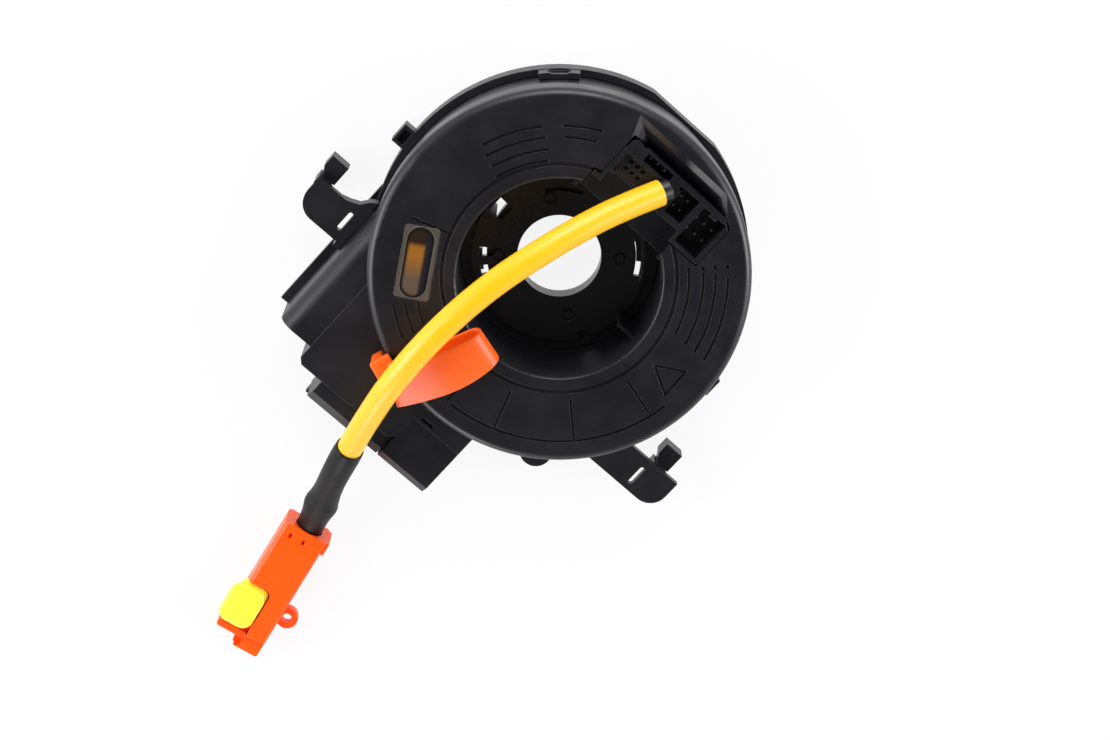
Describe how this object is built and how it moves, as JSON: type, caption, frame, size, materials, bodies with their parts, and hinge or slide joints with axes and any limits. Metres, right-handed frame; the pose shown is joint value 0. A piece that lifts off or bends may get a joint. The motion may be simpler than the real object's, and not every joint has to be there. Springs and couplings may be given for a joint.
{
  "type": "steering clock spring",
  "caption": "Spiral cable for a steering column: a rotor with switch sockets and an airbag lead turns in a fixed drum, joined by a wound flat cable with guide rollers; lock strap fitted.",
  "frame": {"origin": "on the steering axis in the plane of the base plate's back, which the part rests on", "axes": "+Z along the steering axis towards the driver, +Y towards twelve o'clock where the switch connector stands, +X right as the driver sees it; the harness box is on the -Y side"},
  "size_m": [0.1425, 0.2136, 0.0569],
  "materials": {
    "black_case": "fine grained, slight sheen",
    "black_rotor": "fine grained, slight sheen",
    "black_hub": "moulded, smooth",
    "black_cam": "moulded, smooth",
    "black_socket": "moulded, satin",
    "tin_pins": "tin plated",
    "cable_film": "smooth film",
    "slip_film": "smooth film",
    "clear_lens": "clear, slightly smoked",
    "roller_white": "moulded, satin",
    "carrier_white": "moulded, satin",
    "lead_yellow": "smooth soft sheath",
    "lead_black": "satin",
    "plug_black": "moulded, satin",
    "squib_orange": "moulded, smooth",
    "contact_metal": "plated",
    "button_yellow": "moulded, smooth",
    "lock_orange": "moulded, smooth"
  },
  "bodies": {
    "stator": {"base_plate": "black_case", "drum_case": "black_case", "harness_socket": "black_socket", "main_pins": "tin_pins", "second_pins": "tin_pins", "slip_sheet": "slip_film", "cable_on_drum": "cable_film", "outer_cable_block": "black_socket"},
    "rotor": {"rotor_face": "black_rotor", "rotor_hub": "black_hub", "cancel_cam": "black_cam", "window_lens": "clear_lens", "switch_connector": "black_socket", "switch_pins": "tin_pins", "inner_cable_block": "black_socket", "cable_on_hub": "cable_film", "lead_plug": "plug_black", "lead_tube": "lead_yellow", "lead_sleeve": "lead_black", "squib_connector": "squib_orange", "squib_contacts": "contact_metal"},
    "carrier": {"roller_carrier": "carrier_white", "cable_loop": "cable_film"},
    "roller_a": {"roller_1": "roller_white"},
    "roller_b": {"roller_2": "roller_white"},
    "roller_c": {"roller_3": "roller_white"},
    "roller_d": {"roller_4": "roller_white"},
    "squib_lock": {"lock_button": "button_yellow"},
    "transport_strap": {"transport_lock": "lock_orange"}
  },
  "joints": [
    {"name": "rotor_turn", "type": "hinge", "parent": "stator", "child": "rotor", "pos_m": [0, 0, 0.02], "axis": [0, 0, 1], "range_deg": [-900, 900]},
    {"name": "carrier_orbit", "type": "hinge", "parent": "stator", "child": "carrier", "pos_m": [0, 0, 0.003], "axis": [0, 0, 1], "range_deg": [-380, 380]},
    {"name": "roller_a_spin", "type": "hinge", "parent": "carrier", "child": "roller_a", "pos_m": [-0.03411, -0.02388, 0.012], "axis": [0, 0, 1], "range_deg": [-2930, 2930]},
    {"name": "roller_b_spin", "type": "hinge", "parent": "carrier", "child": "roller_b", "pos_m": [0.02388, -0.03411, 0.012], "axis": [0, 0, 1], "range_deg": [-2930, 2930]},
    {"name": "roller_c_spin", "type": "hinge", "parent": "carrier", "child": "roller_c", "pos_m": [0.03411, 0.02388, 0.012], "axis": [0, 0, 1], "range_deg": [-2930, 2930]},
    {"name": "roller_d_spin", "type": "hinge", "parent": "carrier", "child": "roller_d", "pos_m": [-0.02388, 0.03411, 0.012], "axis": [0, 0, 1], "range_deg": [-2930, 2930]},
    {"name": "squib_lock_slide", "type": "slide", "parent": "rotor", "child": "squib_lock", "axis": [0.1871, -0.9823, 0], "range_m": [0, 0.003]},
    {"name": "transport_pull", "type": "slide", "parent": "rotor", "child": "transport_strap", "axis": [-0.342, -0.9397, 0], "range_m": [0, 0.005]}
  ],
  "couplings": [
    {"joint": "carrier_orbit", "follows": "rotor_turn", "ratio": 0.4152},
    {"joint": "roller_a_spin", "follows": "rotor_turn", "ratio": -3.104},
    {"joint": "roller_b_spin", "follows": "rotor_turn", "ratio": -3.104},
    {"joint": "roller_c_spin", "follows": "rotor_turn", "ratio": -3.104},
    {"joint": "roller_d_spin", "follows": "rotor_turn", "ratio": -3.104}
  ]
}
